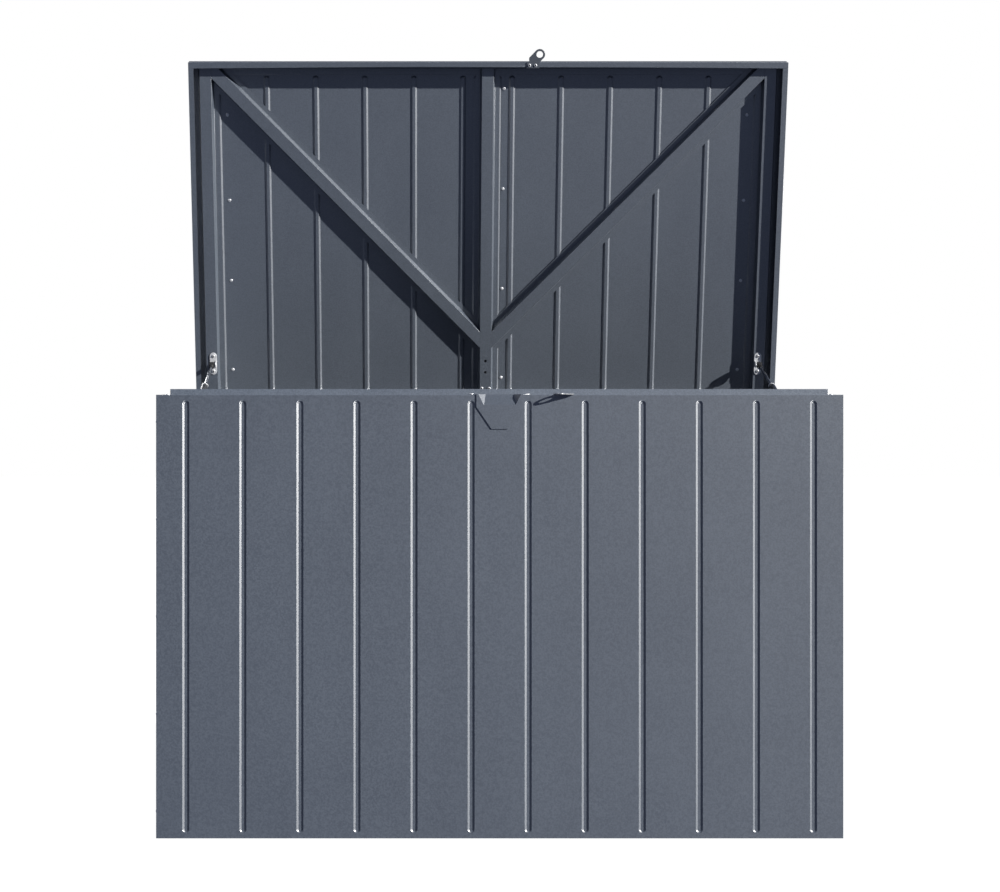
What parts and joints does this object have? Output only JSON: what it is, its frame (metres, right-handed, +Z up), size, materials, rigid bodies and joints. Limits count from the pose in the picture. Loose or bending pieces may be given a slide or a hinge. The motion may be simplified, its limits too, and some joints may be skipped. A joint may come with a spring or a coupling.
{
  "type": "deck storage box",
  "caption": "Ribbed sheet-steel outdoor storage box with a rear-hinged lid held open by gas struts, a scooped finger pull and padlock eyelets.",
  "frame": {"origin": "centre of the floor panel's underside, on the ground", "axes": "+X to the right seen from the front, +Y from the front panel to the rear, +Z up"},
  "size_m": [1.592, 0.993, 1.953],
  "materials": {
    "box_sheet": "fine-textured anthracite powder coat",
    "lid_sheet": "fine-textured anthracite powder coat",
    "floor_sheet": "fine-textured anthracite powder coat",
    "bare_rivets": "bare alloy rivet heads",
    "zinc_screws": "zinc-plated",
    "zinc_bracket": "zinc-plated, stamped",
    "hinge_steel": "zinc-plated",
    "stud_steel": "turned steel",
    "eyelet_steel": "dark grey coated wire",
    "socket_plastic": "moulded",
    "strut_black_paint": "satin black",
    "strut_rod_steel": "dark nitrided, polished"
  },
  "bodies": {
    "box": {"box_screws": "zinc_screws", "centre_hinge_box_leaf": "hinge_steel", "finger_plate": "box_sheet", "floor_panel": "floor_sheet", "front_eyelet": "eyelet_steel", "front_floor_angle": "box_sheet", "front_left_corner_post": "box_sheet", "front_panel": "box_sheet", "front_right_corner_post": "box_sheet", "front_top_rail": "box_sheet", "hinge_pins": "hinge_steel", "left_floor_angle": "box_sheet", "left_hinge_box_leaf": "hinge_steel", "left_side_panel": "box_sheet", "left_side_post": "box_sheet", "left_strut_wall_bracket": "zinc_bracket", "left_top_rail": "box_sheet", "left_wall_ball_stud": "stud_steel", "rear_floor_angle": "box_sheet", "rear_left_corner_post": "box_sheet", "rear_panel": "box_sheet", "rear_right_corner_post": "box_sheet", "rear_top_rail": "box_sheet", "right_floor_angle": "box_sheet", "right_hinge_box_leaf": "hinge_steel", "right_side_panel": "box_sheet", "right_side_post": "box_sheet", "right_strut_wall_bracket": "zinc_bracket", "right_top_rail": "box_sheet", "right_wall_ball_stud": "stud_steel"},
    "lid": {"centre_hinge_lid_leaf": "hinge_steel", "left_hinge_lid_leaf": "hinge_steel", "left_strut_lid_bracket": "zinc_bracket", "lid_centre_post": "lid_sheet", "lid_eyelet": "eyelet_steel", "lid_front_rim": "lid_sheet", "lid_left_brace": "lid_sheet", "lid_left_post": "lid_sheet", "lid_left_rim": "lid_sheet", "lid_rear_rim": "lid_sheet", "lid_right_brace": "lid_sheet", "lid_right_post": "lid_sheet", "lid_right_rim": "lid_sheet", "lid_rivets": "bare_rivets", "lid_screws": "zinc_screws", "lid_skin_left": "lid_sheet", "lid_skin_right": "lid_sheet", "right_hinge_lid_leaf": "hinge_steel", "right_strut_lid_bracket": "zinc_bracket"},
    "left_strut_tube": {"left_strut_tube": "strut_black_paint", "left_strut_tube_socket": "socket_plastic"},
    "left_strut_rod": {"left_strut_rod": "strut_rod_steel", "left_strut_rod_socket": "socket_plastic", "left_lid_ball_stud": "stud_steel"},
    "right_strut_tube": {"right_strut_tube": "strut_black_paint", "right_strut_tube_socket": "socket_plastic"},
    "right_strut_rod": {"right_strut_rod": "strut_rod_steel", "right_strut_rod_socket": "socket_plastic", "right_lid_ball_stud": "stud_steel"}
  },
  "joints": [
    {"name": "lid_hinge", "type": "hinge", "parent": "box", "child": "lid", "pos_m": [0, 0.461, 1.023], "axis": [1, 0, 0], "range_deg": [0, 76.5], "stiffness_Nm_per_rad": 15, "springref_deg": -154.7},
    {"name": "left_strut_pivot", "type": "hinge", "parent": "box", "child": "left_strut_tube", "pos_m": [-0.75, 0, 0.978], "axis": [1, 0, 0], "range_deg": [-11.5, 0]},
    {"name": "left_rod_slide", "type": "slide", "parent": "left_strut_tube", "child": "left_strut_rod", "axis": [0, -0.947, -0.3213], "range_m": [0, 0.1034]},
    {"name": "right_strut_pivot", "type": "hinge", "parent": "box", "child": "right_strut_tube", "pos_m": [0.75, 0, 0.978], "axis": [1, 0, 0], "range_deg": [-11.5, 0]},
    {"name": "right_rod_slide", "type": "slide", "parent": "right_strut_tube", "child": "right_strut_rod", "axis": [0, -0.947, -0.3213], "range_m": [0, 0.1034]}
  ],
  "couplings": [
    {"joint": "left_strut_pivot", "follows": "lid_hinge", "ratio": -0.14952},
    {"joint": "left_rod_slide", "follows": "lid_hinge", "m_per_rad": 0.077363},
    {"joint": "right_strut_pivot", "follows": "lid_hinge", "ratio": -0.14952},
    {"joint": "right_rod_slide", "follows": "lid_hinge", "m_per_rad": 0.077363}
  ]
}
